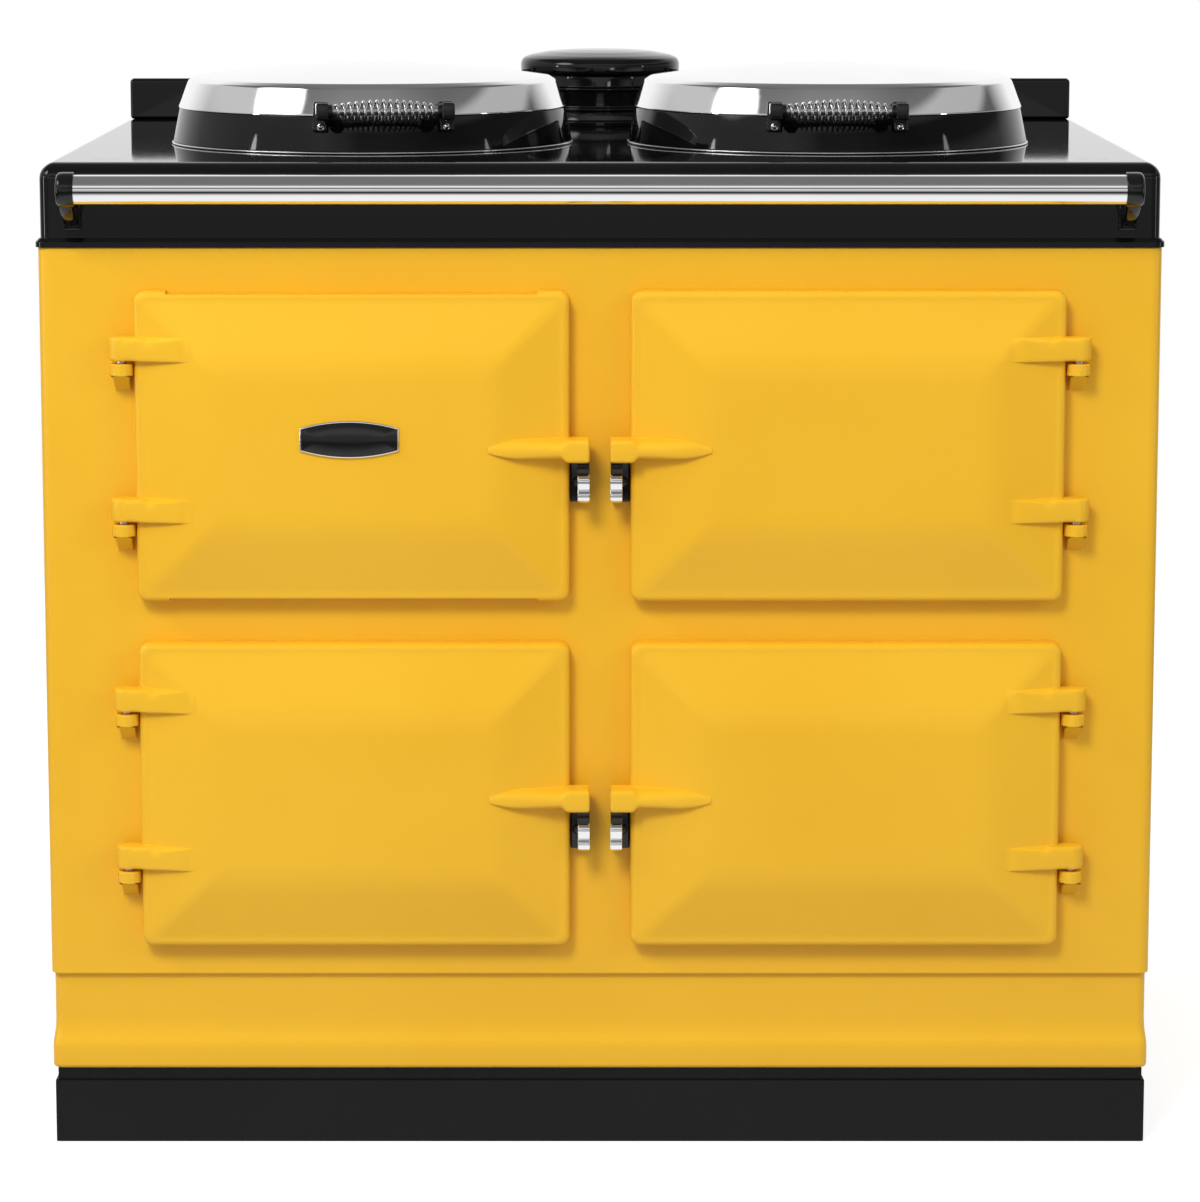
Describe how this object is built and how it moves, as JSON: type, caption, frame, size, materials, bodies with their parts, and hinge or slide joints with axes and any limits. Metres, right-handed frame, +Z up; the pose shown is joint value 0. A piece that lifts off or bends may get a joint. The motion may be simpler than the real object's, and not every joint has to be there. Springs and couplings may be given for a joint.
{
  "type": "range cooker",
  "caption": "Cast iron heat-storage range cooker with bevelled enamelled doors, domed chrome lids over round hotplates, coil lid handles and a front handrail.",
  "frame": {"origin": "on the floor, under the middle of the overall width and depth", "axes": "+X to the user's right along the front, +Y from the front to the wall behind, +Z up"},
  "size_m": [0.993, 0.7605, 0.961],
  "materials": {
    "yellow_enamel": "vitreous enamel, high gloss",
    "black_enamel": "vitreous enamel, gloss",
    "plinth_black": "satin black",
    "back_black": "satin black",
    "bright_chrome": "polished",
    "coil_chrome": "polished wire",
    "base_alloy": "machined and polished",
    "steel_pin": "bright drawn",
    "liner_steel": "pressed sheet, satin",
    "black_iron": "gloss black",
    "raw_iron": "machined top, seasoned",
    "oven_iron": "cast, dark",
    "base_iron": "cast, black",
    "rope_seal": "woven rope",
    "packing": "mineral wool",
    "badge_black": "gloss, blank",
    "knob_black": "matt",
    "panel_steel": "brushed sheet",
    "shelf_wire": "plated bar",
    "heater_steel": "heat-dulled"
  },
  "bodies": {
    "cooker": {"back_panel": "back_black", "baking_oven": "oven_iron", "base_moulding": "yellow_enamel", "base_plate": "base_iron", "boiling_plate": "raw_iron", "control_panel": "panel_steel", "door_catches": "black_iron", "door_hinge_pins": "steel_pin", "door_seals": "rope_seal", "front_casting": "yellow_enamel", "handrail": "bright_chrome", "handrail_brackets": "black_iron", "hotplate_elements": "heater_steel", "insulation": "packing", "lid_hinge_brackets": "black_iron", "lid_hinge_pins": "steel_pin", "oven_elements": "heater_steel", "oven_shelves": "shelf_wire", "plinth": "plinth_black", "rear_upstand": "black_enamel", "roasting_oven": "oven_iron", "side_panel_left": "yellow_enamel", "side_panel_right": "yellow_enamel", "simmering_oven": "oven_iron", "simmering_plate": "raw_iron", "top_plate": "black_enamel", "top_plate_plugs": "black_enamel", "vent_cap": "black_enamel", "vent_neck": "black_enamel"},
    "control_door": {"control_door": "yellow_enamel", "control_door_liner": "liner_steel", "blank_badge": "badge_black"},
    "control_latch": {"control_latch_lever": "bright_chrome"},
    "roasting_door": {"roasting_door": "yellow_enamel", "roasting_door_liner": "liner_steel"},
    "roasting_latch": {"roasting_latch_lever": "bright_chrome"},
    "baking_door": {"baking_door": "yellow_enamel", "baking_door_liner": "liner_steel"},
    "baking_latch": {"baking_latch_lever": "bright_chrome"},
    "simmering_door": {"simmering_door": "yellow_enamel", "simmering_door_liner": "liner_steel"},
    "simmering_latch": {"simmering_latch_lever": "bright_chrome"},
    "left_lid": {"left_lid_dome": "bright_chrome", "left_lid_skirt": "black_enamel", "left_lid_base": "base_alloy", "left_lid_pad": "packing", "left_handle_brackets": "black_iron", "left_handle_rod": "steel_pin", "left_handle_coil": "coil_chrome"},
    "right_lid": {"right_lid_dome": "bright_chrome", "right_lid_skirt": "black_enamel", "right_lid_base": "base_alloy", "right_lid_pad": "packing", "right_handle_brackets": "black_iron", "right_handle_rod": "steel_pin", "right_handle_coil": "coil_chrome"},
    "boiling_knob": {"boiling_knob": "knob_black"},
    "simmering_knob": {"simmering_knob": "knob_black"},
    "oven_knob": {"oven_knob": "knob_black"}
  },
  "joints": [
    {"name": "control_door_hinge", "type": "hinge", "parent": "cooker", "child": "control_door", "pos_m": [-0.4203, -0.33375, 0.6375], "axis": [0, 0, -1], "range_deg": [0, 115]},
    {"name": "control_latch_pivot", "type": "hinge", "parent": "control_door", "child": "control_latch", "pos_m": [-0.016, -0.34475, 0.6315], "axis": [-1, 0, 0], "range_deg": [0, 25]},
    {"name": "roasting_door_hinge", "type": "hinge", "parent": "cooker", "child": "roasting_door", "pos_m": [0.4203, -0.33375, 0.6375], "axis": [0, 0, 1], "range_deg": [0, 115]},
    {"name": "roasting_latch_pivot", "type": "hinge", "parent": "roasting_door", "child": "roasting_latch", "pos_m": [0.016, -0.34475, 0.6315], "axis": [-1, 0, 0], "range_deg": [0, 25]},
    {"name": "baking_door_hinge", "type": "hinge", "parent": "cooker", "child": "baking_door", "pos_m": [-0.4203, -0.33375, 0.32475], "axis": [0, 0, -1], "range_deg": [0, 115]},
    {"name": "baking_latch_pivot", "type": "hinge", "parent": "baking_door", "child": "baking_latch", "pos_m": [-0.016, -0.34475, 0.31875], "axis": [-1, 0, 0], "range_deg": [0, 25]},
    {"name": "simmering_door_hinge", "type": "hinge", "parent": "cooker", "child": "simmering_door", "pos_m": [0.4203, -0.33375, 0.32475], "axis": [0, 0, 1], "range_deg": [0, 115]},
    {"name": "simmering_latch_pivot", "type": "hinge", "parent": "simmering_door", "child": "simmering_latch", "pos_m": [0.016, -0.34475, 0.31875], "axis": [-1, 0, 0], "range_deg": [0, 25]},
    {"name": "left_lid_hinge", "type": "hinge", "parent": "cooker", "child": "left_lid", "pos_m": [-0.214, 0.18775, 0.905], "axis": [-1, 0, 0], "range_deg": [0, 97]},
    {"name": "right_lid_hinge", "type": "hinge", "parent": "cooker", "child": "right_lid", "pos_m": [0.214, 0.18775, 0.905], "axis": [-1, 0, 0], "range_deg": [0, 97]},
    {"name": "boiling_knob_turn", "type": "hinge", "parent": "cooker", "child": "boiling_knob", "pos_m": [-0.308, -0.27375, 0.6375], "axis": [0, -1, 0], "range_deg": [0, 270]},
    {"name": "simmering_knob_turn", "type": "hinge", "parent": "cooker", "child": "simmering_knob", "pos_m": [-0.218, -0.27375, 0.6375], "axis": [0, -1, 0], "range_deg": [0, 270]},
    {"name": "oven_knob_turn", "type": "hinge", "parent": "cooker", "child": "oven_knob", "pos_m": [-0.128, -0.27375, 0.6375], "axis": [0, -1, 0], "range_deg": [0, 270]}
  ]
}
